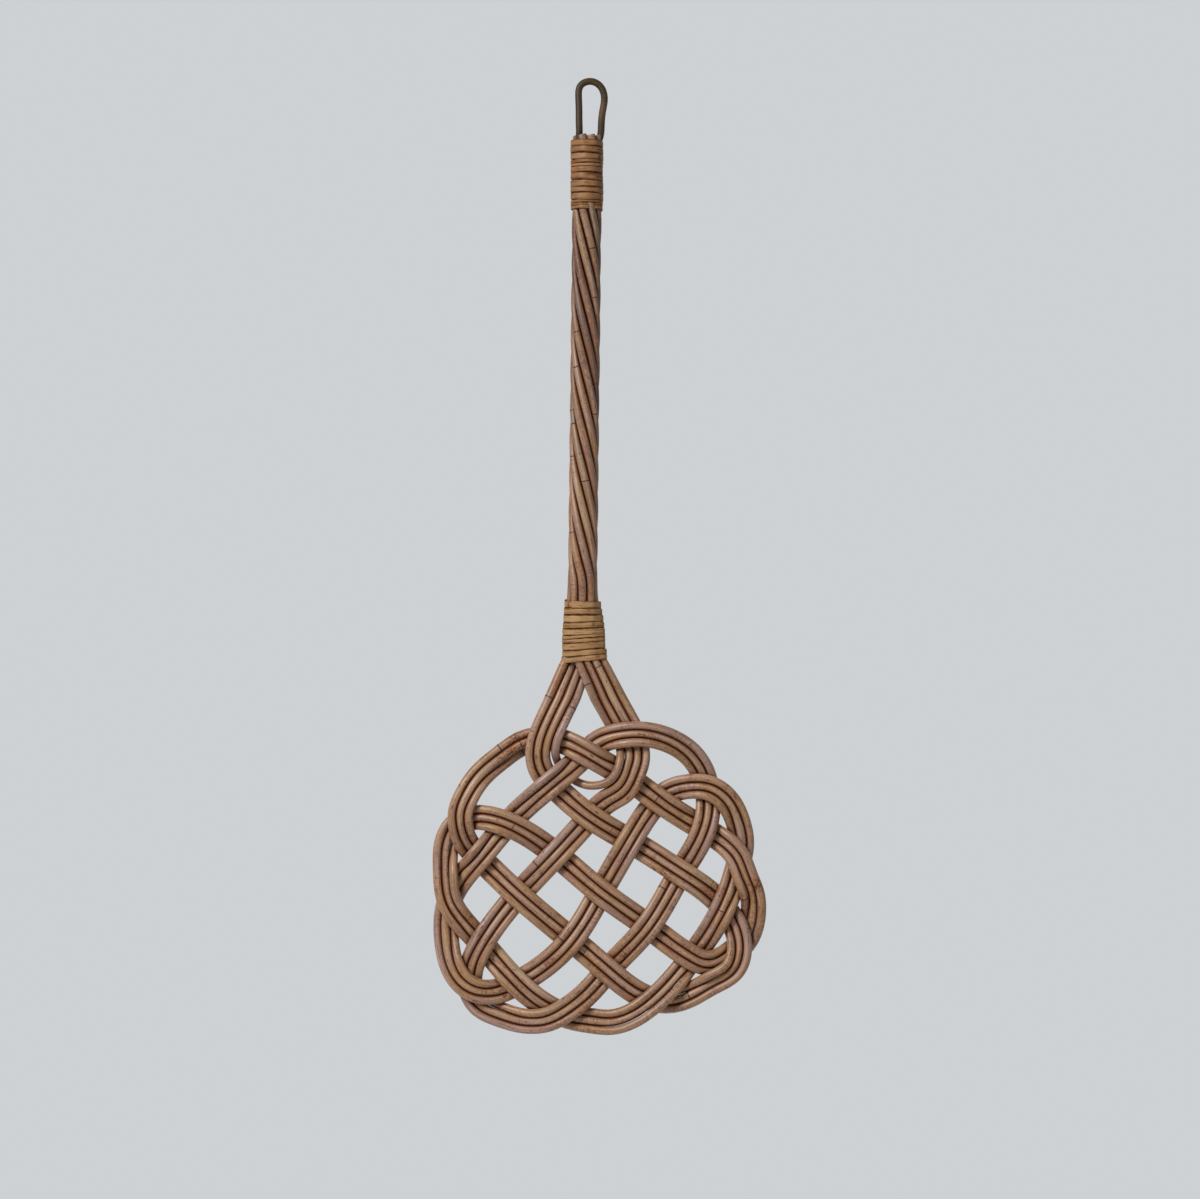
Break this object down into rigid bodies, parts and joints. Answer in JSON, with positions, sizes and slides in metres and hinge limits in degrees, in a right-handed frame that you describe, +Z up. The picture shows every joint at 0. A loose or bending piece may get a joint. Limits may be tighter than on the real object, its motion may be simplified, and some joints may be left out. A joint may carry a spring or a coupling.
{
  "type": "carpet beater",
  "caption": "Flat rattan carpet beater: a woven knot head, two legs, a twisted grip bound with flat strip and a bent cane hanging loop.",
  "frame": {"origin": "the top of the inside of the hanging loop, where the beater bears on what it hangs from", "axes": "+Z up along the handle, as it hangs; +X to the right as seen from the front; the front of the head faces -Y"},
  "size_m": [0.2393, 0.0252, 0.6887],
  "materials": {
    "cane": "peeled tan rattan cane with dark node rings and a satin skin",
    "loop_cane": "darker olive brown rattan cane, pared thinner for the bend",
    "core_cane": "plain rattan core, matt",
    "top_strip": "orange tan flat rattan strip with a soft gloss",
    "bottom_strip": "golden flat rattan strip with a soft gloss"
  },
  "bodies": {
    "root": {"right_hand_cane": "cane", "middle_cane": "cane", "left_hand_cane": "cane", "short_cane": "cane", "hanging_loop": "loop_cane", "left_loop_leg": "loop_cane", "right_loop_leg": "loop_cane", "handle_core": "core_cane", "top_binding": "top_strip", "bottom_binding": "bottom_strip"}
  },
  "joints": []
}
